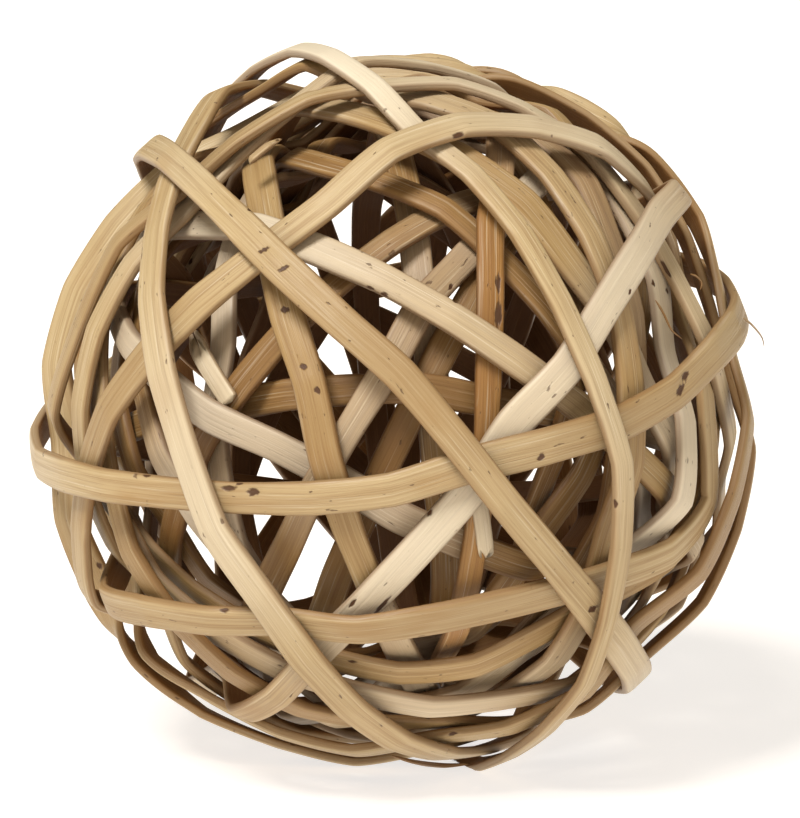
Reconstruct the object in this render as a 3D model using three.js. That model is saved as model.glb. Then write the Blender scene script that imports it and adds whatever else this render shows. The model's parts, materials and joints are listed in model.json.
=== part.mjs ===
// Hollow ornament ball woven from flat split-willow strips, each one a closed hoop.
// Millimetres, +Z up, standing on a small flat spot under the ball.
import * as THREE from 'three';

// Driving dimensions
const ballDiameter = 120;      // over the crowns of the strips that lie on the nominal ball
const stripWidth = 5.6;
const mediumStripWidth = 4.6;
const narrowStripWidth = 4;
const rimLean = 35;            // degrees that a loose rim strip leans its inner face to the front
const stripThickness = 1.6;    // at the crown
const edgeThickness = 0.9;     // at the two long edges
const crossingGap = 0.4;       // left between two strips where one passes over the other
const layerDepth = 1.15;       // one level further into the weave
const restFlatDepth = 2;       // how far the lowest strips are pressed up under the ball
const restBedding = 0.2;       // how much deeper than their crowns they are worn flat there

// How the hoops were sighted: straight on from the front, a little from above
const sightDistance = 1100;
const sightElevation = THREE.MathUtils.degToRad(12);

// Colours
const paleWillow = 0xdccb9f;
const deepWillow = 0xa07c48;
const stainedWillow = 0xb9894a;

// Resolution
const stationCount = 28;       // cross-sections round each hoop
const samplesPerStation = 4;   // places between two cross-sections where crossings are felt

// How the weave settles
const sideMargin = 0.5;        // strips closer together than this are parted as if crossing
const patchBreak = 0.8;        // stations without a crossing that end a patch
const stiffness = 0.2;
const levelPull = 0.01;
const easingPasses = 400;
const partingPasses = 1600;
const firstChange = 120;       // passes before the first crossing changes over
const changeEvery = 25;        // passes
const changesAtOnce = 2;
const tightCrossing = 0.6;     // a crossing that still lacks this much may change over,
const longPatch = 3;           // if it is longer than this many stations
const rimShare = 0.4;          // or stands this near the rim, as a cosine to the front
const gapTolerance = 0.02;

// Each hoop passes through the points of via: hundredths of the ball's radius to the right
// and up, as seen from the front. A third value of 1 puts the point on the far side.
// level is its place in the weave, 0 on the nominal ball and more further in. A strip with
// a foot lies on the ground that far to the right and back of the ball's middle, in
// hundredths of the radius too. A strip with a lean turns its inner face that many degrees
// to the front along the rim.
const strips = [
  { name: 'strip_long_diagonal', level: 0.2,
    via: [[-66, 70], [-27, 33], [0, 9], [31, -29], [65, -75]] },
  { name: 'strip_right_bow', level: -1.4, width: narrowStripWidth, foot: [8, 5],
    via: [[-30, 99], [-19, 96], [8, 78], [21, 67], [38, 43], [46, 27], [54, 7], [60, -9],
      [61, -23], [55, -64], [48, -80], [37, -91], [26, -99]] },
  { name: 'strip_left_bow', level: 0.6,
    via: [[-51, 87], [-61, 72], [-68, 43], [-66, 16], [-58, -12], [-51, -32], [-36, -53],
      [-15, -80], [6, -94]] },
  { name: 'strip_top_arch', level: 1.6, foot: [-15, 7],
    via: [[-85, -12], [-81, -2], [-68, 16], [-44, 38], [-19, 55], [-3, 68], [8, 73], [30, 76],
      [55, 70], [70, 61]] },
  { name: 'strip_belt', level: 2.2,
    via: [[-93, -14], [-82, -19], [-55, -24], [-27, -25], [0, -22], [19, -16], [44, -9],
      [66, -1], [85, 17], [92, 27]] },
  { name: 'strip_right_diagonal', level: 3.1,
    via: [[73, 58], [68, 50], [55, 28], [44, 10], [31, -5], [16, -28], [5, -39], [-8, -53],
      [-38, -78]] },
  { name: 'strip_low_belt', level: 2.6,
    via: [[-89, -38], [-82, -47], [-68, -52], [-55, -55], [-33, -58], [-14, -59], [5, -57],
      [33, -52], [58, -45], [79, -38], [88, -29], [90, -19], [87, -6], [83, 3]] },
  { name: 'strip_upper_left', level: 2.8,
    via: [[-19, 89], [-30, 82], [-41, 75], [-57, 62], [-75, 40], [-82, 31], [-86, 17],
      [-87, -6]] },
  { name: 'strip_lowest_belt', level: 3.6,
    via: [[-55, -61], [-27, -74], [-8, -78], [8, -80], [27, -78], [44, -76], [55, -72]] },
  { name: 'strip_middle_diagonal', level: 4.2,
    via: [[-26, 44], [-14, 40], [0, 32], [14, 24], [27, 16], [37, 9], [68, -17]] },
  { name: 'strip_under_diagonal', level: 5.2,
    via: [[37, 62], [19, 44], [8, 32], [0, 17], [-14, -6], [-22, -19], [-30, -36],
      [-44, -65]] },
  { name: 'strip_steep', level: 4.6,
    via: [[-33, 31], [-27, 13], [-22, -2], [-20, -14], [-15, -31], [-8, -50]] },
  { name: 'strip_inner_belt', level: 6.6,
    via: [[-50, 1], [-30, 4], [-14, 5], [8, 5], [30, 1]] },
  { name: 'strip_inner_left', level: 5.4,
    via: [[-50, -4], [-40, -9], [-25, -17], [0, -32], [19, -40], [36, -45]] },
  { name: 'strip_inner_upright', level: 7.4,
    via: [[3, 59], [5, 43], [9, 21], [11, -9], [14, -44]] },
  { name: 'strip_stained', level: 4.7, stained: true, width: mediumStripWidth,
    via: [[28, 67], [25, 54], [25, 32], [25, 7], [22, -31]] },
  { name: 'strip_top_fold', level: 3.8,
    via: [[2, 86], [22, 78], [37, 67], [44, 58], [51, 46], [57, 35], [61, 17], [62, 5],
      [60, -20]] },
  { name: 'strip_right_inner', level: 5.2,
    via: [[48, 65], [53, 57], [58, 46], [66, 27], [70, 10], [67, -7], [64, -25]] },
  { name: 'strip_right_kinked', level: 4.2,
    via: [[63, 59], [72, 40], [74, 29], [78, 16], [76, -1], [76, -20], [66, -38]] },
  { name: 'strip_right_deep', level: 6, width: mediumStripWidth,
    via: [[46, 47], [50, 27], [48, -20]] },
  { name: 'strip_low_diagonal', level: 5.6,
    via: [[60, -16], [55, -24], [44, -38], [33, -54], [19, -70]] },
  { name: 'strip_rim_outer', level: 0.9, lean: rimLean,
    via: [[0, 98, 1], [27, 93, 1], [55, 78, 1], [77, 61, 1], [86, 40, 1], [92, 18, 1],
      [-95, -32], [-87, -53], [-77, -65], [-63, -79], [-49, -90], [-22, -94], [-1, -94]] },
  { name: 'strip_rim_upper', level: 1.9, width: mediumStripWidth,
    via: [[-93, 0], [-90, 17], [-84, 37], [-19, 93], [0, 93], [14, 91], [27, 88], [41, 81],
      [55, 74], [77, 44], [82, 22]] },
  { name: 'strip_rim_left', level: 0.95, lean: rimLean, foot: [-7, -15],
    via: [[-75, 58, 1], [-87, 43, 1], [-94, 24, 1], [-97, 3, 1], [97, -12, 1], [93, -29, 1],
      [82, -49, 1], [68, -70, 1]] },
  { name: 'strip_rim_bottom', level: 3.2,
    via: [[9, -90], [27, -86], [48, -83], [63, -78], [-30, 86, 1]] },
  { name: 'strip_low_bow', level: 4,
    via: [[-94, -20], [-82, -34], [-64, -48], [-40, -63], [0, -76], [20, -73], [34, -66],
      [48, -61]] },
  { name: 'strip_upper_inner', level: 5.2,
    via: [[-46, 79], [-22, 70], [14, 55]] },
  { name: 'strip_upper_slant', level: 4.6,
    via: [[-19, 82], [1, 75], [27, 59]] },
  { name: 'strip_left_upright', level: 6.2,
    via: [[-49, 50], [-52, 33], [-52, 18], [-56, 0]] },
  { name: 'strip_left_slant', level: 5.8,
    via: [[-73, -2], [-66, -14], [-56, -30], [-48, -51]] },
  { name: 'strip_low_inner', level: 6.4,
    via: [[-78, -17], [-70, -36], [-56, -56]] },
  { name: 'strip_far_slant', level: 6.8,
    via: [[48, 57, 1], [40, 36, 1], [33, 18, 1]] },
  { name: 'strip_far_bow', level: 6.2,
    via: [[66, 50, 1], [30, -20, 1], [-30, -62, 1]] },
];

// Crossings in front that go against the levels: the first lies over the second
const crossingsOver = [
  ['strip_top_arch', 'strip_right_bow'],
  ['strip_right_diagonal', 'strip_top_arch'],
  ['strip_belt', 'strip_top_arch'],
  ['strip_belt', 'strip_rim_outer'],
  ['strip_belt', 'strip_rim_left'],
  ['strip_belt', 'strip_rim_upper'],
  ['strip_right_diagonal', 'strip_rim_upper'],
  ['strip_long_diagonal', 'strip_rim_left'],
  ['strip_rim_left', 'strip_rim_upper'],
  ['strip_rim_left', 'strip_upper_left'],
  ['strip_rim_left', 'strip_low_bow'],
  ['strip_rim_left', 'strip_low_belt'],
];

// The ball isn't round: millimetres out or in towards places seen from the front
const swells = [
  { right: -72, up: -70, by: 1.8 },
  { right: -5, up: -99, by: -1.8 },
  { right: -99, up: 0, by: 0.8 },
  { right: 97, up: 20, by: -1.5 },
];
const swellSharpness = 10;

const ballRadius = ballDiameter / 2;
const restHeight = ballRadius - restFlatDepth;
const restFlatCut = stripThickness - edgeThickness + restBedding;
const bendLimit = THREE.MathUtils.degToRad(9);   // furthest a hoop's plane stands off centre
const blendAngle = 1.2;                           // radians over which a bend dies away
const front = new THREE.Vector3(0, -Math.cos(sightElevation), Math.sin(sightElevation));
const stationStep = 2 * Math.PI / stationCount;
const smallTurn = 0.02;
const sectionMiddle = new THREE.Vector2(0, 0);    // of a strip's underside
const slackSharpness = 8;                         // higher eases a narrower band at the rim
const slackPasses = 14;
const justPastRim = -0.25;                        // cosine of the angle to the front
const leanStart = -0.08;                          // cosines of the angle to the back
const leanFull = 0.05;
const flatBelow = -0.95;                          // cosines of the angle to straight up
const leanAbove = -0.7;
const lowestPart = -0.5;
const deepestLevel = Math.max(...strips.map((strip) => strip.level));

function radiusAtLevel(level) {
  return ballRadius - stripThickness - level * layerDepth;
}

function swellAt(direction) {
  let sum = 0;
  for (const swell of swells) {
    const toward = new THREE.Vector3(swell.right, 0, swell.up).normalize().applyAxisAngle(
      new THREE.Vector3(1, 0, 0), -sightElevation);
    sum += swell.by * Math.max(0, direction.dot(toward)) ** swellSharpness;
  }
  return sum;
}

// The direction from the ball's centre to a point sighted from the front
function sightedDirection([right, up, far], radius) {
  const eye = new THREE.Vector3(0, -sightDistance, 0);
  const aim = new THREE.Vector3(right * ballRadius / 100, 0, up * ballRadius / 100);
  const ray = aim.clone().sub(eye);
  const a = ray.lengthSq();
  const b = 2 * eye.dot(ray);
  const c = eye.lengthSq() - radius * radius;
  const root = Math.sqrt(Math.max(0, b * b - 4 * a * c));
  const reach = (-b + (far ? root : -root)) / (2 * a);
  return eye.addScaledVector(ray, reach).normalize()
    .applyAxisAngle(new THREE.Vector3(1, 0, 0), -sightElevation);
}

// The axis of the tilted plane that passes through a hoop's first, middle and last points,
// with the plane kept near the ball's centre
function hoopAxis(directions) {
  const first = directions[0];
  const middle = directions[Math.floor(directions.length / 2)];
  const last = directions[directions.length - 1];
  const axis = middle.clone().sub(first).cross(last.clone().sub(first)).normalize();
  const offset = Math.asin(axis.dot(first));
  if (Math.abs(offset) <= bendLimit) return { axis, offset };
  const kept = Math.sign(offset) * bendLimit;
  const along = first.clone().add(last).normalize();
  const across = first.clone().cross(last).normalize();
  if (across.dot(axis) < 0) across.negate();
  const share = Math.sin(kept) / along.dot(first);
  axis.copy(along).multiplyScalar(share).addScaledVector(across, Math.sqrt(1 - share * share));
  return { axis, offset: kept };
}

// The direction to a point of the ball's underside, by its place as seen from above
function groundDirection([right, back]) {
  const x = right / 100;
  const y = back / 100;
  return new THREE.Vector3(x, y, -Math.sqrt(1 - x ** 2 - y ** 2));
}

function makeHoop(strip, index) {
  const radius = radiusAtLevel(strip.level) + stripThickness / 2;
  const directions = strip.via.map((point) => sightedDirection(point, radius));
  const { axis, offset } = hoopAxis(directions);
  const middle = directions[Math.floor(directions.length / 2)];
  const start = middle.clone().addScaledVector(axis, -middle.dot(axis)).normalize();
  const side = axis.clone().cross(start);
  const hoop = { ...strip, index, axis, offset, start, side, width: strip.width ?? stripWidth };
  if (strip.foot) directions.push(groundDirection(strip.foot));
  hoop.bends = makeBends(directions.map((direction) => ({
    turn: turnOf(hoop, direction),
    bend: Math.asin(direction.dot(axis)) - offset,
    slack: towardAxis(hoop, direction).dot(front) ** slackSharpness,
  })));
  hoop.stations = [];
  for (let q = 0; q < stationCount; q++) {
    const direction = directionAt(hoop, q * stationStep);
    const swell = swellAt(direction);
    const resting = restingRadius(direction);
    const standing = strip.foot && resting < ballRadius;
    const raised = hoop.width / 2 * Math.sin(Math.abs(leanAt(hoop, direction)));
    const wanted = (standing ? resting : radiusAtLevel(hoop.level) + swell) - raised;
    const limit = standing ? resting : radiusAtLevel(Math.min(0, hoop.level)) + swell;
    const outermost = Math.min(limit, resting) - raised;
    hoop.stations.push({ direction, wanted, outermost, radius: wanted });
  }
  return hoop;
}

// A hoop's bends off its plane in the order of their turns: they die away past the last
// sighted points, or join up where the points reach most of the way round
function makeBends(sighted) {
  const bends = sighted.sort((p, q) => p.turn - q.turn);
  const span = bends[bends.length - 1].turn - bends[0].turn;
  const closed = span > 2 * Math.PI - 2 * blendAngle;
  for (let pass = 0; pass < slackPasses; pass++) {
    const all = withEnds(bends, closed);
    bends.forEach((bend, k) => easeBend(all, k + 1));
  }
  const all = withEnds(bends, closed);
  bends.forEach((bend, k) => {
    bend.slope = (all[k + 2].bend - all[k].bend) / (all[k + 2].turn - all[k].turn);
  });
  return withEnds(bends, closed);
}

function withEnds(bends, closed) {
  const first = bends[0];
  const last = bends[bends.length - 1];
  const before = closed ? { ...last, turn: last.turn - 2 * Math.PI }
    : { turn: first.turn - blendAngle, bend: 0, slope: 0 };
  const after = closed ? { ...first, turn: first.turn + 2 * Math.PI }
    : { turn: last.turn + blendAngle, bend: 0, slope: 0 };
  return [before, ...bends, after];
}

// Near the rim a view from the front says little of how far back a strip lies: there it
// runs straighter from one sighted point to the next
function easeBend(all, k) {
  const share = (all[k].turn - all[k - 1].turn) / (all[k + 1].turn - all[k - 1].turn);
  const straight = THREE.MathUtils.lerp(all[k - 1].bend, all[k + 1].bend, share);
  all[k].bend = THREE.MathUtils.lerp(all[k].bend, straight, all[k].slack / 2);
}

function turnOf(hoop, direction) {
  return Math.atan2(direction.dot(hoop.side), direction.dot(hoop.start));
}

// How far a hoop leaves its plane at a turn, smooth through the sighted points
function bendAt(hoop, turn) {
  const lowest = hoop.bends[0].turn;
  const t = lowest + THREE.MathUtils.euclideanModulo(turn - lowest, 2 * Math.PI);
  const k = hoop.bends.findIndex((bend, i) => i > 0 && t <= bend.turn);
  if (k < 0) return 0;
  const from = hoop.bends[k - 1];
  const to = hoop.bends[k];
  const span = to.turn - from.turn;
  const f = (t - from.turn) / span;
  const rise = f * f * (3 - 2 * f);
  return from.bend * (1 - rise) + to.bend * rise
    + span * f * (1 - f) * ((1 - f) * from.slope - f * to.slope);
}

// The direction across a hoop's middle line towards its axis
function towardAxis(hoop, direction) {
  return hoop.axis.clone().addScaledVector(direction, -hoop.axis.dot(direction)).normalize();
}

// How far a strip leans along the rim, in radians: its front edge stands out by that angle
function leanAt(hoop, direction) {
  if (!hoop.lean) return 0;
  const behind = THREE.MathUtils.smoothstep(-direction.dot(front), leanStart, leanFull);
  const aloft = THREE.MathUtils.smoothstep(direction.z, flatBelow, leanAbove);
  const share = behind * aloft * towardAxis(hoop, direction).dot(front);
  return THREE.MathUtils.degToRad(hoop.lean) * share;
}

// How much wider a hoop measures across its plane where it runs at a slant to it
function slantAt(hoop, turn) {
  const slope = (bendAt(hoop, turn + smallTurn) - bendAt(hoop, turn - smallTurn)) / (2 * smallTurn);
  return Math.hypot(1, slope);
}

// The direction from the ball's centre to a hoop's middle line, or to a line aside of it
function directionAt(hoop, turn, aside = 0) {
  const tilt = hoop.offset + bendAt(hoop, turn) + aside;
  return new THREE.Vector3()
    .addScaledVector(hoop.axis, Math.sin(tilt))
    .addScaledVector(hoop.start, Math.cos(tilt) * Math.cos(turn))
    .addScaledVector(hoop.side, Math.cos(tilt) * Math.sin(turn));
}

// The strips that reach the ground are pressed up until their whole faces lie on it
function restingRadius(direction) {
  if (direction.z > lowestPart) return Infinity;
  return (restHeight + restFlatCut) / -direction.z - stripThickness;
}

// Two hoops share a patch of the ball wherever their widths cross. A patch may be long where
// they run side by side, and one strip stays over the other for the whole of it.
function findPatches(hoops) {
  const shared = new Map();
  for (const hoop of hoops) {
    for (let f = 0; f < stationCount * samplesPerStation; f++) {
      const turn = f / samplesPerStation * stationStep;
      const reach = hoop.width * slantAt(hoop, turn) / radiusAtLevel(hoop.level);
      for (const share of [-0.5, -0.25, 0, 0.25, 0.5]) {
        const direction = directionAt(hoop, turn, share * reach);
        const spot = { place: f / samplesPerStation, aside: share * hoop.width };
        for (const other of hoops) {
          if (other !== hoop) noteShared(shared, hoop, spot, other, direction);
        }
      }
    }
  }
  return [...shared.values()].flatMap(splitIntoPatches);
}

function noteShared(shared, hoop, spot, other, direction) {
  const turn = turnOf(other, direction);
  const tilt = Math.asin(direction.dot(other.axis)) - other.offset - bendAt(other, turn);
  const distance = tilt * radiusAtLevel(other.level);
  if (Math.abs(distance) > 2 * other.width) return;
  const aside = distance / slantAt(other, turn);
  if (Math.abs(aside) > other.width / 2 + sideMargin) return;
  const place = THREE.MathUtils.euclideanModulo(turn / stationStep, stationCount);
  const spots = [spot, { place, aside }];
  if (other.index < hoop.index) spots.reverse();
  const [one, two] = hoop.index < other.index ? [hoop, other] : [other, hoop];
  const key = `${one.index} ${two.index}`;
  if (!shared.has(key)) shared.set(key, { one, two, samples: [] });
  const leans = [leanAt(one, direction), leanAt(two, direction)];
  shared.get(key).samples.push({
    places: spots.map((at) => at.place),
    lifts: spots.map((at, k) => at.aside * Math.tan(leans[k])),
    depths: leans.map((lean) => stripThickness / Math.cos(lean)),
    direction,
  });
}

function splitIntoPatches({ one, two, samples }) {
  samples.sort((p, q) => p.places[0] - q.places[0]);
  const groups = [[samples[0]]];
  for (let k = 1; k < samples.length; k++) {
    if (samples[k].places[0] - samples[k - 1].places[0] > patchBreak) groups.push([]);
    groups[groups.length - 1].push(samples[k]);
  }
  const wrap = samples[0].places[0] + stationCount - samples[samples.length - 1].places[0];
  if (groups.length > 1 && wrap < patchBreak) groups[0].push(...groups.pop());
  return groups.map((group) => {
    const middle = new THREE.Vector3();
    for (const sample of group) middle.add(sample.direction);
    middle.normalize();
    const facing = middle.dot(front);
    const known = facing > justPastRim ? knownOrder(one, two) : 0;
    const order = known || (one.level < two.level ? 1 : -1);
    const reach = Math.abs(group[group.length - 1].places[0] - group[0].places[0]);
    const free = !known && (reach > longPatch || Math.abs(facing) < rimShare);
    return { one, two, free, order, worst: 0, samples: group.map(heldStations) };
  });
}

// 1 where the first of two hoops is the outer one by the list above, -1 where it is the inner
function knownOrder(one, two) {
  for (const [over, under] of crossingsOver) {
    if (over === one.name && under === two.name) return 1;
    if (over === two.name && under === one.name) return -1;
  }
  return 0;
}

// A place between two stations as their indices, its share of the way, and the two weights
// that give a straight chord's distance from the centre
function heldStations({ places, lifts, depths }) {
  const [one, two] = places.map((place) => {
    const near = Math.floor(place) % stationCount;
    const share = place - Math.floor(place);
    const whole = Math.sin(stationStep);
    return { near, far: (near + 1) % stationCount, share,
      nearPart: Math.sin((1 - share) * stationStep) / whole,
      farPart: Math.sin(share * stationStep) / whole };
  });
  const give = (1 - one.share) ** 2 + one.share ** 2 + (1 - two.share) ** 2 + two.share ** 2;
  return { one, two, give, rise: lifts[0] - lifts[1], depths };
}

function chordRadius(hoop, place) {
  return 1 / (place.nearPart / hoop.stations[place.near].radius
    + place.farPart / hoop.stations[place.far].radius);
}

function shift(hoop, place, amount) {
  hoop.stations[place.near].radius += amount * (1 - place.share);
  hoop.stations[place.far].radius += amount * place.share;
}

// Presses each crossing apart a little and says how far the worst is from its thickness
function partCrossings(hoops, patches) {
  let worst = 0;
  for (const patch of patches) {
    const { one, two, order } = patch;
    patch.worst = 0;
    for (const sample of patch.samples) {
      const radii = chordRadius(one, sample.one) - chordRadius(two, sample.two);
      const apart = order * (radii + sample.rise);
      const lack = sample.depths[order > 0 ? 1 : 0] + crossingGap - apart;
      if (lack <= 0) continue;
      patch.worst = Math.max(patch.worst, lack);
      const push = 0.5 * order * lack / sample.give;
      shift(one, sample.one, push);
      shift(two, sample.two, -push);
    }
    worst = Math.max(worst, patch.worst);
  }
  for (const hoop of hoops) {
    for (const station of hoop.stations) {
      station.radius = Math.min(station.radius, station.outermost);
    }
  }
  return worst;
}

// A springy strip lies as straight as it can and near its own level
function straighten(hoops) {
  for (const { stations } of hoops) {
    const radii = stations.map((station) => station.radius);
    stations.forEach((station, q) => {
      const before = radii[(q + stationCount - 1) % stationCount];
      const after = radii[(q + 1) % stationCount];
      station.radius += stiffness * ((before + after) / 2 - radii[q]);
      station.radius += levelPull * (station.wanted - station.radius);
    });
  }
}

// Weaves the hoops: they are eased past each other, the tightest free crossings change over
// now and then, and at the end they are only parted until every crossing has its gap
function weave(hoops) {
  const patches = findPatches(hoops);
  for (let pass = 0; pass < easingPasses + partingPasses; pass++) {
    if (pass < easingPasses) straighten(hoops);
    const worst = partCrossings(hoops, patches);
    if (pass >= easingPasses && worst < gapTolerance) return;
    if (pass >= firstChange && (pass - firstChange) % changeEvery === 0) changeTightest(patches);
  }
}

function changeTightest(patches) {
  const tight = patches.filter((patch) => patch.free && patch.worst > tightCrossing);
  tight.sort((p, q) => q.worst - p.worst);
  for (const patch of tight.slice(0, changesAtOnce)) patch.order = -patch.order;
}

// A hoop's mesh: a flat underside, two square edges and a low crown, round all its stations
function stripGeometry(hoop) {
  const half = hoop.width / 2;
  const section = [[-half, 0], [half, 0], [half, edgeThickness], [0, stripThickness],
    [-half, edgeThickness]];
  const positions = [];
  for (let q = 0; q < stationCount; q++) {
    const { direction, radius } = hoop.stations[q];
    const turn = q * stationStep;
    const along = directionAt(hoop, turn + smallTurn).sub(directionAt(hoop, turn - smallTurn));
    const across = along.cross(direction).normalize();
    const lean = -leanAt(hoop, direction);
    for (const corner of section) {
      const [aside, out] = new THREE.Vector2(...corner).rotateAround(sectionMiddle, lean).toArray();
      const point = direction.clone().multiplyScalar(radius + out).addScaledVector(across, aside);
      positions.push(point.x, point.y, Math.max(point.z, -restHeight));
    }
  }
  const corners = section.length;
  const indices = [];
  for (let q = 0; q < stationCount; q++) {
    for (let s = 0; s < corners; s++) {
      const here = q * corners;
      const there = ((q + 1) % stationCount) * corners;
      const next = (s + 1) % corners;
      indices.push(here + s, there + next, here + next);
      indices.push(here + s, there + s, there + next);
    }
  }
  const geometry = new THREE.BufferGeometry();
  geometry.setAttribute('position', new THREE.Float32BufferAttribute(positions, 3));
  geometry.setIndex(indices);
  geometry.computeVertexNormals();
  return geometry;
}

// Strips further in are browner
function willowMaterial({ level, stained }) {
  const depth = THREE.MathUtils.clamp(level / deepestLevel, 0, 1);
  const color = new THREE.Color(paleWillow).lerp(new THREE.Color(deepWillow), depth);
  if (stained) color.set(stainedWillow);
  return new THREE.MeshStandardMaterial({ color, roughness: 0.62, metalness: 0 });
}

const hoops = strips.map(makeHoop);
weave(hoops);

const ball = new THREE.Group();
for (const hoop of hoops) {
  const mesh = new THREE.Mesh(stripGeometry(hoop), willowMaterial(hoop));
  mesh.name = hoop.name;
  ball.add(mesh);
}

// The ball stands on the ground with its box centred over the origin
const boxMiddle = new THREE.Box3().setFromObject(ball).getCenter(new THREE.Vector3());
ball.position.set(-boxMiddle.x, -boxMiddle.y, restHeight);

const group = new THREE.Group();
group.add(ball);

export default group;
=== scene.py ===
import itertools
import json
import math

import bmesh
import bpy
import numpy as np
from mathutils import Matrix, Vector


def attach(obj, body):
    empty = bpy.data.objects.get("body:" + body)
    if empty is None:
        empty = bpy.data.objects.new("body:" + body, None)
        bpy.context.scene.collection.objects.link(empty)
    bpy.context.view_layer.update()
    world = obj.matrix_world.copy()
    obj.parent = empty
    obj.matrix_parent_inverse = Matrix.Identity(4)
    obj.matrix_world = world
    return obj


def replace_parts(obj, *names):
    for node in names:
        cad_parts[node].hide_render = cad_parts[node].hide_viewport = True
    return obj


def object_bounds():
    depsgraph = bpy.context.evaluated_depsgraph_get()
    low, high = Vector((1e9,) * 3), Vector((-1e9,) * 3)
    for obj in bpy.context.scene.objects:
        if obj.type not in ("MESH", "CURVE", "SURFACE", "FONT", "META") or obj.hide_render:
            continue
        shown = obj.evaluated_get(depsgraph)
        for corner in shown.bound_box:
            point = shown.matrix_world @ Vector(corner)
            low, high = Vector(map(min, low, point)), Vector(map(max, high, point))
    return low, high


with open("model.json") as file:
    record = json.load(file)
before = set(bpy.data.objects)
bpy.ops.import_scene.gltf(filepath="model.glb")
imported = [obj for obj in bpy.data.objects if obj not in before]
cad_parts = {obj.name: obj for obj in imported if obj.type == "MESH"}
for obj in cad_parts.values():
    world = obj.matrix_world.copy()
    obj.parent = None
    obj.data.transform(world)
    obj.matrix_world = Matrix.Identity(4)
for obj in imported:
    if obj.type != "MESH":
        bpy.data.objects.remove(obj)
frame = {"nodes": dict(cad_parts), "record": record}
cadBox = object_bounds()
print("frame loaded:", len(frame["nodes"]), "strips")


# Camera

camera = {
    "distance": 1.1,          # metres from the middle of the ball
    "elevation": 12,          # degrees
    "imageWidth": 800,        # pixels
    "imageHeight": 818,
    "ballMiddle": (400, 407), # where the middle of the ball is in the picture, in pixels
    "ballOffset": (0.00122, 0.00051, 0.058),     # the middle of the ball from the bottom centre of its box
    "ballRadius": 0.060,
    "ballPixels": 366,        # its radius in the picture
    "sensor": 36,
    "clipEnd": 20,
}
ballMiddle = Vector((cadBox[0][0] + cadBox[1][0], cadBox[0][1] + cadBox[1][1], 0)) / 2
ballMiddle += Vector(camera["ballOffset"])
metresAPixel = camera["ballRadius"] / camera["ballPixels"]
focalPixels = camera["ballPixels"] * camera["distance"] / camera["ballRadius"]
elevation = math.radians(camera["elevation"])
toCamera = Vector((0, -math.cos(elevation), math.sin(elevation)))
cameraRight = Vector((1, 0, 0))
cameraUp = toCamera.cross(cameraRight)
cameraPlace = ballMiddle + toCamera * camera["distance"]


def makeCamera():
    data = bpy.data.cameras.new("camera")
    data.sensor_fit = "HORIZONTAL"
    data.sensor_width = camera["sensor"]
    data.lens = focalPixels / camera["imageWidth"] * camera["sensor"]
    data.shift_x = (camera["imageWidth"] / 2 - camera["ballMiddle"][0]) / camera["imageWidth"]
    data.shift_y = (camera["ballMiddle"][1] - camera["imageHeight"] / 2) / camera["imageWidth"]
    data.clip_end = camera["clipEnd"]
    piece = bpy.data.objects.new("camera", data)
    bpy.context.scene.collection.objects.link(piece)
    aim = toCamera.to_track_quat("Z", "Y")
    piece.matrix_world = Matrix.Translation(cameraPlace) @ aim.to_matrix().to_4x4()
    bpy.context.scene.camera = piece


def pixelsOf(points):         # where points are in the picture, and how far from the camera
    away = points - np.array(cameraPlace)
    depth = -away @ np.array(toCamera)
    right = away @ np.array(cameraRight) / depth * focalPixels + camera["ballMiddle"][0]
    down = camera["ballMiddle"][1] - away @ np.array(cameraUp) / depth * focalPixels
    return np.stack([right, down], axis=1), depth


def placeAt(right, down, level):     # where the line of sight through a pixel meets the ball
    sight = cameraRight * (right - camera["ballMiddle"][0]) - cameraUp * (down - camera["ballMiddle"][1])
    sight = (sight / focalPixels - toCamera).normalized()
    middleAway = (ballMiddle - cameraPlace).dot(sight)
    aside = (cameraPlace + sight * middleAway - ballMiddle).length
    radius = camera["ballRadius"] + level
    back = math.sqrt(max(radius ** 2 - aside ** 2, 0))
    return np.array(cameraPlace + sight * (middleAway - back))


makeCamera()
print("camera made")


# Node helpers

def fillSocket(tree, socket, value):
    if isinstance(value, bpy.types.NodeSocket):
        tree.links.new(value, socket)
    else:
        socket.default_value = value


def mixNode(tree, factor, a, b):
    mix = tree.nodes.new("ShaderNodeMix")
    mix.data_type = "RGBA"
    for index, value in ((0, factor), (6, a), (7, b)):
        fillSocket(tree, mix.inputs[index], value)
    return mix.outputs[2]


def mathNode(tree, operation, *values):
    node = tree.nodes.new("ShaderNodeMath")
    node.operation = operation
    for socket, value in zip(node.inputs, values):
        fillSocket(tree, socket, value)
    return node.outputs[0]


def rangeNode(tree, value, low, high, toLow=0.0, toHigh=1.0):
    node = tree.nodes.new("ShaderNodeMapRange")
    node.interpolation_type = "SMOOTHSTEP"
    tree.links.new(value, node.inputs["Value"])
    for name, number in (("From Min", low), ("From Max", high), ("To Min", toLow), ("To Max", toHigh)):
        node.inputs[name].default_value = number
    return node.outputs["Result"]


def noiseNode(tree, vector, scale, detail, roughness):
    node = tree.nodes.new("ShaderNodeTexNoise")
    tree.links.new(vector, node.inputs["Vector"])
    node.inputs["Scale"].default_value = scale
    node.inputs["Detail"].default_value = detail
    node.inputs["Roughness"].default_value = roughness
    return node.outputs["Fac"]


def stretchNode(tree, vector, scale):
    node = tree.nodes.new("ShaderNodeMapping")
    tree.links.new(vector, node.inputs["Vector"])
    node.inputs["Scale"].default_value = scale
    return node.outputs["Vector"]


def attributeNode(tree, name):
    node = tree.nodes.new("ShaderNodeAttribute")
    node.attribute_name = name
    return node.outputs["Vector"]


def separateNode(tree, vector):
    node = tree.nodes.new("ShaderNodeSeparateXYZ")
    tree.links.new(vector, node.inputs[0])
    return node.outputs


# Studio

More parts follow.
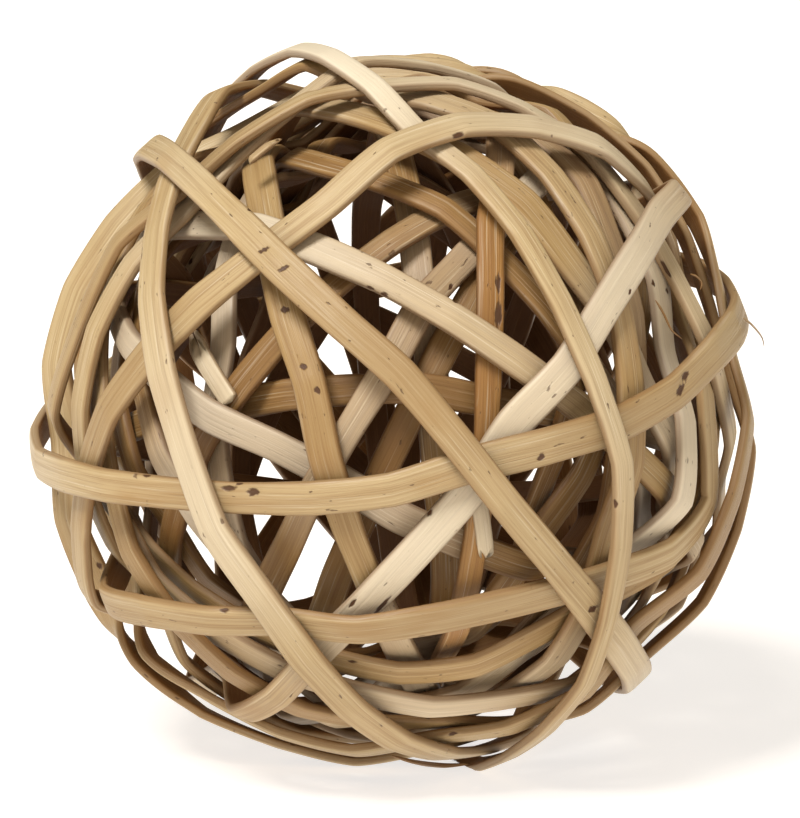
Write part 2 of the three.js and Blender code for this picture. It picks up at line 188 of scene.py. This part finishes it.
studio = {
    "floorSize": 40.0,        # metres
    "floorColor": (0.55, 0.50, 0.44, 1),
    "floorRoughness": 0.9,
    "floorGlow": 0.70,        # washes out the shadow on it
    "glowColor": (1, 1, 1, 1),
    "skyStrength": 0.26,      # on the ball and the floor
    "skySeen": 1.0,           # behind them
    "skyTint": (1.0, 0.84, 0.58, 1),
    "skySeenTint": (1, 1, 1, 1),
    "keyStrength": 3.5,
    "keyAngle": 20,           # degrees across, for the softness of its shadows
    "keyPlace": (-0.50, -0.72, 1.30),
    "fillStrength": 0.42,
    "fillAngle": 70,
    "fillPlace": (0.35, -1.0, 0.45),
}


def makeMaterial(name):
    material = bpy.data.materials.new(name)
    material.use_nodes = True
    nodes = material.node_tree.nodes
    nodes.clear()
    shader = nodes.new("ShaderNodeBsdfPrincipled")
    output = nodes.new("ShaderNodeOutputMaterial")
    material.node_tree.links.new(shader.outputs["BSDF"], output.inputs["Surface"])
    return material, shader


def makeMesh(bm, name):
    mesh = bpy.data.meshes.new(name)
    bm.to_mesh(mesh)
    bm.free()
    return mesh


def makeFloor():
    bm = bmesh.new()
    bmesh.ops.create_grid(bm, x_segments=1, y_segments=1, size=studio["floorSize"] / 2)
    mesh = makeMesh(bm, "floor")
    floor = bpy.data.objects.new("floor", mesh)
    bpy.context.scene.collection.objects.link(floor)
    material, shader = makeMaterial("paleFloor")
    shader.inputs["Base Color"].default_value = studio["floorColor"]
    shader.inputs["Roughness"].default_value = studio["floorRoughness"]
    shader.inputs["Emission Color"].default_value = studio["glowColor"]
    shader.inputs["Emission Strength"].default_value = studio["floorGlow"]
    mesh.materials.append(material)


def makeLight(name, place, angle, strength):
    data = bpy.data.lights.new(name, "SUN")
    data.angle = math.radians(angle)
    data.energy = strength
    piece = bpy.data.objects.new(name, data)
    bpy.context.scene.collection.objects.link(piece)
    aim = Vector(place).to_track_quat("Z", "Y")
    piece.matrix_world = Matrix.Translation(place) @ aim.to_matrix().to_4x4()


def makeSky():
    world = bpy.data.worlds.new("sky")
    world.use_nodes = True
    tree = world.node_tree
    background = tree.nodes["Background"]
    path = tree.nodes.new("ShaderNodeLightPath")
    tint = mixNode(tree, path.outputs["Is Camera Ray"], studio["skyTint"], studio["skySeenTint"])
    tree.links.new(tint, background.inputs["Color"])
    seen = tree.nodes.new("ShaderNodeMapRange")
    seen.inputs["To Min"].default_value = studio["skyStrength"]
    seen.inputs["To Max"].default_value = studio["skySeen"]
    tree.links.new(path.outputs["Is Camera Ray"], seen.inputs["Value"])
    tree.links.new(seen.outputs["Result"], background.inputs["Strength"])
    bpy.context.scene.world = world
    bpy.context.scene.view_settings.view_transform = "Standard"


makeFloor()
makeSky()
makeLight("keyLight", studio["keyPlace"], studio["keyAngle"], studio["keyStrength"])
makeLight("fillLight", studio["fillPlace"], studio["fillAngle"], studio["fillStrength"])
print("studio made")


# Willow surface

grain = {
    "hairs": (7500, 0.010, 3, 0.55),     # features a metre across a strip, their pull along it, detail
    "lines": (3400, 0.012, 4, 0.60),     # and roughness of the noise
    "bands": (1000, 0.022, 3, 0.55),
    "clouds": (130, 0.45, 2, 0.50),
    "specks": (1500, 0.30, 2, 0.50),
    "hairRange": (0.50, 0.64),           # noise values between which each comes up
    "lineRange": (0.50, 0.66),
    "bandRange": (0.47, 0.66),
    "cloudRange": (0.52, 0.74),
    "speckRange": (0.70, 0.76),
    "paleLineRange": (0.30, 0.45),
    "holeRange": (0.78, 1.05),
    "holeEdge": (0.0, 0.25),
    "holeRaggedness": 0.8,
    "hairShare": 0.20,                   # how much of its colour each gives
    "lineShare": 0.38,
    "bandShare": 0.38,
    "cloudShare": 0.50,
    "speckShare": 0.7,
    "paleLineShare": 0.35,
    "splitLineShare": 0.6,
    # painted shade along both edges of each strip, in the split colour
    "edgeShadeShare": 0.55,
    "paleHair": (0.80, 0.70, 0.52, 1),
    "paleFace": (0.82, 0.735, 0.575, 1),
    "darkSpeck": (0.085, 0.036, 0.013, 1),
    "roughness": 0.36,
    "bandRoughness": 0.25,
    "splitRoughness": 0.2,
    "hairHeight": 0.5,
    "holeHeight": 1.5,
    "bumpStrength": 0.75,
    "bumpDepth": 0.00016,                # metres
    "specular": 0.4,
}
toneSockets = {"face": "Face Color", "streak": "Streak Color", "split": "Split Color",
               "stain": "Stain Color"}


def makeWillowGroup():
    tree = bpy.data.node_groups.new("willowGrain", "ShaderNodeTree")
    for name in toneSockets.values():
        tree.interface.new_socket(name, in_out="INPUT", socket_type="NodeSocketColor")
    tree.interface.new_socket("Color", in_out="OUTPUT", socket_type="NodeSocketColor")
    for name in ("Roughness", "Height"):
        tree.interface.new_socket(name, in_out="OUTPUT", socket_type="NodeSocketFloat")
    start = tree.nodes.new("NodeGroupInput")
    end = tree.nodes.new("NodeGroupOutput")
    coords = attributeNode(tree, "grain")
    # the split face, the painted shade along the edges, and the pits
    under, edge, pit = separateNode(tree, attributeNode(tree, "marksAndEdgeShade"))
    paler, darker, _ = separateNode(tree, attributeNode(tree, "tone"))
    faceColor, streakColor, splitColor, stainColor = start.outputs[:4]

    def streaks(kind):
        size, pull, detail, roughness = grain[kind]
        return noiseNode(tree, stretchNode(tree, coords, (pull, pull, 1)), size, detail, roughness)

    def part(mask, share):
        return mathNode(tree, "MULTIPLY", mask, grain[share])

    hairs, lines, bands = streaks("hairs"), streaks("lines"), streaks("bands")
    clouds, specks = streaks("clouds"), streaks("specks")
    hairMask = rangeNode(tree, hairs, *grain["hairRange"])
    lineMask = rangeNode(tree, lines, *grain["lineRange"])
    bandMask = rangeNode(tree, bands, *grain["bandRange"])
    cloudMask = rangeNode(tree, clouds, *grain["cloudRange"])
    speckMask = rangeNode(tree, specks, *grain["speckRange"])
    paleLines = rangeNode(tree, lines, *grain["paleLineRange"], grain["paleLineShare"], 0.0)

    face = mixNode(tree, part(bandMask, "bandShare"), faceColor, streakColor)
    face = mixNode(tree, part(lineMask, "lineShare"), face, streakColor)
    face = mixNode(tree, part(hairMask, "hairShare"), face, streakColor)
    face = mixNode(tree, part(cloudMask, "cloudShare"), face, stainColor)
    face = mixNode(tree, paleLines, face, grain["paleHair"])
    face = mixNode(tree, paler, face, grain["paleFace"])
    face = mixNode(tree, darker, face, streakColor)
    splitFace = mixNode(tree, part(lineMask, "splitLineShare"), splitColor, streakColor)
    face = mixNode(tree, under, face, splitFace)
    # painted shade: both edges of each strip are darkened towards the split colour
    face = mixNode(tree, part(edge, "edgeShadeShare"), face, splitColor)
    ragged = mathNode(tree, "ADD", pit, part(specks, "holeRaggedness"))
    hole = mathNode(tree, "MULTIPLY", rangeNode(tree, ragged, *grain["holeRange"]),
                    rangeNode(tree, pit, *grain["holeEdge"]))
    dark = mathNode(tree, "MAXIMUM", part(speckMask, "speckShare"), hole)
    face = mixNode(tree, dark, face, grain["darkSpeck"])
    tree.links.new(face, end.inputs["Color"])

    rough = mathNode(tree, "ADD", part(bands, "bandRoughness"), grain["roughness"])
    rough = mathNode(tree, "ADD", rough, part(under, "splitRoughness"))
    tree.links.new(rough, end.inputs["Roughness"])
    height = mathNode(tree, "ADD", part(hairs, "hairHeight"), lines)
    height = mathNode(tree, "ADD", height, bands)
    height = mathNode(tree, "SUBTRACT", height, part(dark, "holeHeight"))
    tree.links.new(height, end.inputs["Height"])
    return tree


# Colours for each slot. willow_tan and willow_brown are the pale willow made darker for strips lying deeper
# inside the ball: painted shade of the ball's inside, partly their browner inner faces. willow_stained is a
# real stain.
willowColorsWithDepthShade = {
    "willow_pale": {"face": (0.51, 0.375, 0.195), "streak": (0.27, 0.148, 0.050),
                    "split": (0.20, 0.090, 0.024), "stain": (0.37, 0.215, 0.075)},
    # painted shade: a darker copy of willow_pale for strips partway inside the ball
    "willow_tan": {"face": (0.43, 0.285, 0.122), "streak": (0.225, 0.115, 0.034),
                   "split": (0.165, 0.068, 0.016), "stain": (0.315, 0.155, 0.042)},
    # painted shade: a darker copy of willow_pale for the deepest strips
    "willow_brown": {"face": (0.32, 0.182, 0.062), "streak": (0.165, 0.073, 0.018),
                     "split": (0.125, 0.047, 0.010), "stain": (0.245, 0.108, 0.023)},
    "willow_stained": {"face": (0.39, 0.200, 0.054), "streak": (0.20, 0.083, 0.020),
                       "split": (0.145, 0.057, 0.014), "stain": (0.285, 0.110, 0.020)},
}


def makeWillow(slot, tone, group):
    material, shader = makeMaterial(slot)
    tree = material.node_tree
    node = tree.nodes.new("ShaderNodeGroup")
    node.node_tree = group
    for key, socket in toneSockets.items():
        node.inputs[socket].default_value = (*tone[key], 1)
    bump = tree.nodes.new("ShaderNodeBump")
    bump.inputs["Strength"].default_value = grain["bumpStrength"]
    bump.inputs["Distance"].default_value = grain["bumpDepth"]
    tree.links.new(node.outputs["Height"], bump.inputs["Height"])
    tree.links.new(node.outputs["Color"], shader.inputs["Base Color"])
    tree.links.new(node.outputs["Roughness"], shader.inputs["Roughness"])
    tree.links.new(bump.outputs["Normal"], shader.inputs["Normal"])
    shader.inputs["Specular IOR Level"].default_value = grain["specular"]
    return material


willowGroup = makeWillowGroup()
willows = {slot: makeWillow(slot, tone, willowGroup) for slot, tone in willowColorsWithDepthShade.items()}
print("willow materials made")


# Strips

strip = {
    "stationReach": 0.006,    # edges of the solid shorter than this lie across the strip
    "inwardWeight": 5,        # how strongly the inner corners of a section are looked for
    "mergeReach": 1e-6,
    "stepLength": 0.0008,     # metres between cross-sections
    "sectionCorners": 24,
    "thickness": 0.00168,
    "middleShare": 0.42,      # height of the widest place, as a share of the thickness
    "topSquareness": 3.8,     # 2 is an ellipse, more is squarer
    "bottomSquareness": 4.5,
    "widthShare": {"willow_pale": 1.0, "willow_tan": 0.95, "willow_brown": 0.87,
                   "willow_stained": 0.95},
    "widthChange": 0.10,
    "widthWaves": (1, 3, 5, 8, 13, 21),
    "widthDecay": 0.7,
    "thicknessChange": 0.07,
    "thicknessWaves": (2, 5, 9),
    "twist": 6,               # degrees either way
    "twistWaves": (2, 3, 5, 9),
    "lean": 0.10,             # how much thicker one edge is than the other
    "leanWaves": (1, 4, 6),
    "toneChange": 0.34,
    "toneWaves": (1, 2, 3, 5),
    "toneDecay": 0.8,
    "mostTone": 0.9,
    "waveDecay": 0.6,
    "waveHeight": 1.6,
    "kink": 0.45,             # 0 bends evenly, 1 runs straight from bend to bend
    "kinkReach": 0.09,        # how far a kink rounds the strip's direction, in stations
    # across the width, where the painted edge shade starts and where it is full
    "edgeShadeRange": (0.42, 0.5),
    "underRange": (-0.30, -0.05),
    "seed": 11,
}
stripPaleness = {             # below 0 is darker than its slot's colour
    "strip_right_bow": 0.18, "strip_left_bow": 0.22, "strip_right_diagonal": 0.30,
    "strip_long_diagonal": 0.05, "strip_upper_left": 0.15, "strip_right_kinked": 0.35,
    "strip_right_inner": 0.30, "strip_top_fold": 0.12, "strip_middle_diagonal": 0.10,
    "strip_under_diagonal": 0.20, "strip_stained": -0.15, "strip_low_belt": -0.10,
    "strip_belt": -0.05, "strip_rim_outer": -0.15, "strip_rim_left": -0.15,
    "strip_inner_left": 0.12, "strip_upper_inner": 0.25, "strip_left_upright": 0.30,
    "strip_low_bow": 0.05,
}


def innerSpan(pair):          # most for two corners far apart and near the middle of the ball
    left, right = (vert.co for vert in pair)
    inward = ((left - ballMiddle).length + (right - ballMiddle).length) / 2
    return (left - right).length - strip["inwardWeight"] * inward


def readStations(node):       # the cross-sections of a solid, in order along its hoop
    bm = bmesh.new()
    bm.from_mesh(node.data)
    bmesh.ops.remove_doubles(bm, verts=bm.verts, dist=strip["mergeReach"])
    rings = []
    ringOf = {}
    for seed in bm.verts:
        if seed in ringOf:
            continue
        rings.append([])
        waiting = [seed]
        while waiting:
            vert = waiting.pop()
            if vert in ringOf:
                continue
            ringOf[vert] = len(rings) - 1
            rings[-1].append(vert)
            across = [e for e in vert.link_edges if e.calc_length() < strip["stationReach"]]
            waiting += [e.other_vert(vert) for e in across]
    order = [0]
    while len(order) < len(rings):
        near = [ringOf[e.other_vert(v)] for v in rings[order[-1]] for e in v.link_edges]
        order.append(next(k for k in near if k not in order))
    middles, outs = [], []
    for k in order:
        left, right = max(itertools.combinations(rings[k], 2), key=innerSpan)
        middle = (left.co + right.co) / 2
        side = (right.co - left.co).normalized()
        crown = min(rings[k], key=lambda v: abs((v.co - middle).dot(side)))
        middles.append(middle.copy())
        outs.append((crown.co - middle).normalized())
    width = (left.co - right.co).length
    bm.free()
    return {"middles": np.array(middles), "outs": np.array(outs), "width": width}


def unit(vectors):
    return vectors / np.linalg.norm(vectors, axis=1)[:, None]


def squareTo(vectors, along):
    return unit(vectors - np.sum(vectors * along, axis=1)[:, None] * along)


def smoothThrough(points, place):     # a closed smooth curve through the points
    whole = np.floor(place).astype(int)
    share = (place - whole)[:, None]
    a, b, c, d = (points[(whole + k) % len(points)] for k in (-1, 0, 1, 2))
    return 0.5 * (2 * b + (c - a) * share + (2 * a - 5 * b + 4 * c - d) * share ** 2
                  + (3 * b - a - 3 * c + d) * share ** 3)


def kinkedThrough(points, place):     # the same curve, drawn towards its straight chords
    whole = np.floor(place).astype(int)
    share = (place - whole)[:, None]
    straight = points[whole % len(points)] * (1 - share) + points[(whole + 1) % len(points)] * share
    return smoothThrough(points, place) * (1 - strip["kink"]) + straight * strip["kink"]


def frameAt(path, place):
    middle = kinkedThrough(path["middles"], place)
    ahead = kinkedThrough(path["middles"], place + strip["kinkReach"])
    along = unit(ahead - kinkedThrough(path["middles"], place - strip["kinkReach"]))
    out = squareTo(smoothThrough(path["outs"], place), along)
    return middle, np.cross(along, out), out


def wave(random, share, waves, decay=strip["waveDecay"]):     # a closed random curve, about -1 to 1
    total = np.zeros_like(share)
    size = 1.0
    for k in waves:
        total += size * np.sin(2 * math.pi * (k * share + random.random()))
        size *= decay
    return total / strip["waveHeight"]


def makeRibbon(steps):     # a straight strip from x 0 to 1, 1 wide, 1 thick, with its underside at z 0
    bm = bmesh.new()
    ring = bmesh.ops.create_circle(bm, segments=strip["sectionCorners"], radius=1)["verts"]
    for vert in ring:
        square = strip["topSquareness"] if vert.co.y > 0 else strip["bottomSquareness"]
        across = math.copysign(abs(vert.co.x) ** (2 / square), vert.co.x)
        out = math.copysign(abs(vert.co.y) ** (2 / square), vert.co.y)
        reach = 1 - strip["middleShare"] if out > 0 else strip["middleShare"]
        vert.co = (0, across / 2, strip["middleShare"] + out * reach)
    swept = bmesh.ops.extrude_edge_only(bm, edges=bm.edges[:])
    far = [item for item in swept["geom"] if isinstance(item, bmesh.types.BMVert)]
    bmesh.ops.translate(bm, verts=far, vec=(1, 0, 0))
    long = [e for e in bm.edges if abs(e.verts[0].co.x - e.verts[1].co.x) > 0.5]
    bmesh.ops.subdivide_edges(bm, edges=long, cuts=steps - 1, use_grid_fill=True)
    return bm


def ribbonShares(mesh):       # of its length from 0 to 1, its width from -0.5 to 0.5, its thickness
    flat = np.zeros(len(mesh.vertices) * 3, np.float32)
    mesh.vertices.foreach_get("co", flat)
    return flat.reshape(-1, 3).astype(float).T


def setVectors(mesh, name, vectors):
    layer = mesh.attributes.new(name, "FLOAT_VECTOR", "POINT")
    layer.data.foreach_set("vector", vectors.astype(np.float32).ravel())


def smoothStep(value, low, high):
    share = np.clip((value - low) / (high - low), 0, 1)
    return share * share * (3 - 2 * share)


def shapeStrip(name, index):
    random = np.random.default_rng(strip["seed"] + index)
    path = readStations(frame["nodes"][name])
    chords = np.roll(path["middles"], -1, axis=0) - path["middles"]
    length = float(np.sum(np.linalg.norm(chords, axis=1)))
    slot = next(p["material_slot"] for p in frame["record"]["subparts"] if p["node"] == name)
    mesh = makeMesh(makeRibbon(round(length / strip["stepLength"])), name)
    share, across, out = ribbonShares(mesh)
    middle, side, outward = frameAt(path, share * len(path["middles"]))
    width = path["width"] * strip["widthShare"][slot]
    width = width * (1 + strip["widthChange"] * wave(random, share, strip["widthWaves"], strip["widthDecay"]))
    thick = strip["thickness"] * (1 + strip["thicknessChange"] * wave(random, share, strip["thicknessWaves"]))
    turn = math.radians(strip["twist"]) * wave(random, share, strip["twistWaves"])
    y = across * width
    z = out * thick
    z += strip["lean"] * thick * across * 2 * wave(random, share, strip["leanWaves"])
    turnedY = y * np.cos(turn) - (z - thick / 2) * np.sin(turn)
    turnedZ = y * np.sin(turn) + (z - thick / 2) * np.cos(turn) + thick / 2
    places = middle + side * turnedY[:, None] + outward * turnedZ[:, None]
    around = 2 * math.pi * share
    radius = length / (2 * math.pi)
    offset = random.random(3)
    pale = strip["toneChange"] * wave(random, share, strip["toneWaves"], strip["toneDecay"])
    pixels, depth = pixelsOf(places)
    return {"name": name, "slot": slot, "mesh": mesh, "places": places, "outward": outward,
            "run": share * length, "length": length, "y": y, "top": out > strip["middleShare"],
            "pixels": pixels, "depth": depth, "pits": np.zeros_like(out),
            "pale": stripPaleness.get(name, 0) + pale,
            "under": smoothStep(-out, *strip["underRange"]),
            # painted shade along both edges
            "edge": smoothStep(np.abs(across), *strip["edgeShadeRange"]),
            "grain": np.stack([radius * np.cos(around) + offset[0], radius * np.sin(around) + offset[1],
                               y + z + offset[2]], axis=1)}


# Knots, pits and cracks

blemish = {
    "reach": 7,               # pixels from the place to the strip it is on
    "spots": (                # pixels right and down, half length, half width and depth, all in pixels
        (265, 250, 7, 4, 1.5), (285, 265, 6, 4, 1.2), (255, 205, 6, 4, 1.2), (318, 87, 7, 4, 1.5),
        (458, 134, 10, 6, 2.0), (451, 288, 7, 4, 1.0), (459, 297, 6, 4, 1.0), (366, 292, 8, 4, 1.2),
        (385, 299, 8, 4, 1.2), (285, 310, 7, 4, 1.2), (300, 365, 8, 4, 1.2), (317, 390, 7, 4, 1.2),
        (229, 489, 16, 6, 2.0), (250, 492, 14, 6, 2.0), (240, 484, 9, 4, 1.0), (688, 376, 11, 6, 2.0),
        (683, 394, 13, 6, 2.0), (654, 283, 7, 4, 1.2), (665, 275, 7, 4, 1.0), (669, 291, 7, 4, 1.0),
        (661, 262, 8, 4, 1.2), (630, 293, 7, 4, 1.2), (225, 603, 9, 6, 1.5), (98, 564, 8, 6, 1.2),
        (498, 317, 26, 7, 0.8), (380, 607, 40, 4, 1.5), (352, 604, 14, 4, 1.5), (498, 285, 20, 6, 0.6),
        (540, 455, 8, 4, 1.0), (148, 470, 9, 4, 1.0), (590, 610, 10, 4, 1.0), (452, 735, 9, 4, 1.0),
        (190, 262, 8, 4, 1.0), (350, 662, 12, 4, 1.0), (430, 512, 10, 4, 1.0), (615, 505, 9, 4, 1.0),
    ),
}


def addBlemish(items, right, down, halfLength, halfWidth, depth):
    found = []
    for item in items:
        away = np.hypot(item["pixels"][:, 0] - right, item["pixels"][:, 1] - down)
        away[~item["top"]] = np.inf
        nearest = int(np.argmin(away))
        if away[nearest] < blemish["reach"]:
            found.append((item["depth"][nearest], nearest, item))
    if not found:
        return
    _, nearest, item = min(found, key=lambda one: one[0])
    run = item["run"] - item["run"][nearest]
    run -= np.round(run / item["length"]) * item["length"]
    across = item["y"] - item["y"][nearest]
    away = np.hypot(run / (halfLength * metresAPixel), across / (halfWidth * metresAPixel))
    hit = np.clip(1 - away, 0, 1) * item["top"]
    item["pits"] = np.maximum(item["pits"], hit)
    item["places"] -= item["outward"] * (np.sqrt(hit) * depth * metresAPixel)[:, None]


def finishPiece(item, name):
    mesh = item["mesh"]
    item["places"][:, 2] = np.maximum(item["places"][:, 2], 0)
    mesh.vertices.foreach_set("co", item["places"].astype(np.float32).ravel())
    setVectors(mesh, "grain", item["grain"])
    # the split face, the painted edge shade and the pits
    setVectors(mesh, "marksAndEdgeShade", np.stack([item["under"], item["edge"], item["pits"]], axis=1))
    paler = np.clip(item["pale"], 0, strip["mostTone"])
    darker = np.clip(-item["pale"], 0, strip["mostTone"])
    setVectors(mesh, "tone", np.stack([paler, darker, np.zeros_like(paler)], axis=1))
    bm = bmesh.new()
    bm.from_mesh(mesh)
    bmesh.ops.remove_doubles(bm, verts=bm.verts, dist=strip["mergeReach"])
    bmesh.ops.recalc_face_normals(bm, faces=bm.faces)
    for face in bm.faces:
        face.smooth = True
    bm.to_mesh(mesh)
    bm.free()
    piece = bpy.data.objects.new(name, mesh)
    bpy.context.scene.collection.objects.link(piece)
    mesh.materials.append(willows[item["slot"]])
    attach(piece, "root")
    return piece


shapes = [shapeStrip(name, index) for index, name in enumerate(sorted(frame["nodes"]))]
for spot in blemish["spots"]:
    addBlemish(shapes, *spot)
for shape in shapes:
    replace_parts(finishPiece(shape, shape["name"] + "_willow"), shape["name"])
print("strips made")


# Broken ends and loose fibres

sliver = {
    "steps": 48,
    "tip": 0.12,              # what is left of the width and thickness at an end
    "teeth": 31,              # radians of the jagged end across the width
    "directionReach": 0.05,
    "grainOffset": 0.3,
}
slivers = {                   # spots and width in pixels, thickness and level above the ball in metres
    "broken_stub": {"spots": ((476, 494), (480, 515), (483, 537), (485, 558)), "level": -0.0075,
                    "width": 17, "thick": 0.0013, "slot": "willow_pale", "pale": 0.4, "fray": 0.22,
                    "taper": (0.01, 0.10)},
    "torn_end": {"spots": ((232, 402), (218, 380), (204, 356), (192, 330)), "level": -0.009,
                 "width": 20, "thick": 0.0012, "slot": "willow_pale", "pale": 0.35, "fray": 0.30,
                 "taper": (0.02, 0.22)},
    "torn_top": {"spots": ((250, 164), (262, 154), (272, 146), (282, 139)), "level": -0.003,
                 "width": 9, "thick": 0.0009, "slot": "willow_tan", "pale": 0.1, "fray": 0.25,
                 "taper": (0.1, 0.4)},
    "low_sliver": {"spots": ((392, 755), (415, 760), (442, 763), (470, 763)), "level": -0.0015,
                   "width": 5, "thick": 0.0008, "slot": "willow_brown", "pale": -0.4, "fray": 0.1,
                   "taper": (0.5, 0.3)},
    "side_hair": {"spots": ((743, 318), (752, 326), (761, 337), (764, 347)), "level": 0.0002,
                  "width": 2.0, "thick": 0.00028, "slot": "willow_tan", "pale": 0.0, "fray": 0.0,
                  "taper": (0.1, 0.7)},
    "kinked_hair": {"spots": ((655, 300), (663, 314), (671, 330), (682, 339)), "level": 0.0002,
                    "width": 2.0, "thick": 0.00030, "slot": "willow_brown", "pale": -0.5, "fray": 0.0,
                    "taper": (0.2, 0.6)},
    "rim_hair": {"spots": ((690, 274), (696, 277), (701, 283), (700, 290)), "level": 0.0004,
                 "width": 1.8, "thick": 0.00028, "slot": "willow_brown", "pale": -0.3, "fray": 0.0,
                 "taper": (0.2, 0.6)},
}


def shapeSliver(name, kind):
    points = [placeAt(right, down, kind["level"]) for right, down in kind["spots"]]
    points = np.array([2 * points[0] - points[1], *points, 2 * points[-1] - points[-2]])
    bm = makeRibbon(sliver["steps"])
    bmesh.ops.holes_fill(bm, edges=[edge for edge in bm.edges if edge.is_boundary])
    bmesh.ops.triangulate(bm, faces=[face for face in bm.faces if len(face.verts) > 4])
    mesh = makeMesh(bm, name)
    share, across, out = ribbonShares(mesh)
    teeth = 0.5 + 0.5 * np.sin(across * sliver["teeth"] + len(name))
    place = 1 + (share - kind["fray"] * teeth * share ** 2) * (len(kind["spots"]) - 1)
    middle = smoothThrough(points, place)
    ahead = smoothThrough(points, place + sliver["directionReach"])
    along = unit(ahead - smoothThrough(points, place - sliver["directionReach"]))
    outward = squareTo(unit(middle - np.array(ballMiddle)), along)
    side = np.cross(along, outward)
    start, end = kind["taper"]
    full = np.minimum(np.minimum(share / start, (1 - share) / end), 1)
    full = sliver["tip"] + (1 - sliver["tip"]) * np.sqrt(np.clip(full, 0, 1))
    y = across * kind["width"] * metresAPixel * full
    z = out * kind["thick"] * full
    length = float(np.linalg.norm(points[-1] - points[0]))
    return {"slot": kind["slot"], "mesh": mesh, "pits": np.zeros_like(out),
            "places": middle + side * y[:, None] + outward * z[:, None],
            "pale": np.full_like(out, kind["pale"]),
            "under": smoothStep(-out, *strip["underRange"]),
            # painted shade along both edges
            "edge": smoothStep(np.abs(across), *strip["edgeShadeRange"]),
            "grain": np.stack([share * length, np.full_like(out, sliver["grainOffset"]), y + z], axis=1)}


for name, kind in slivers.items():
    finishPiece(shapeSliver(name, kind), name + "_willow")
print("broken ends made")
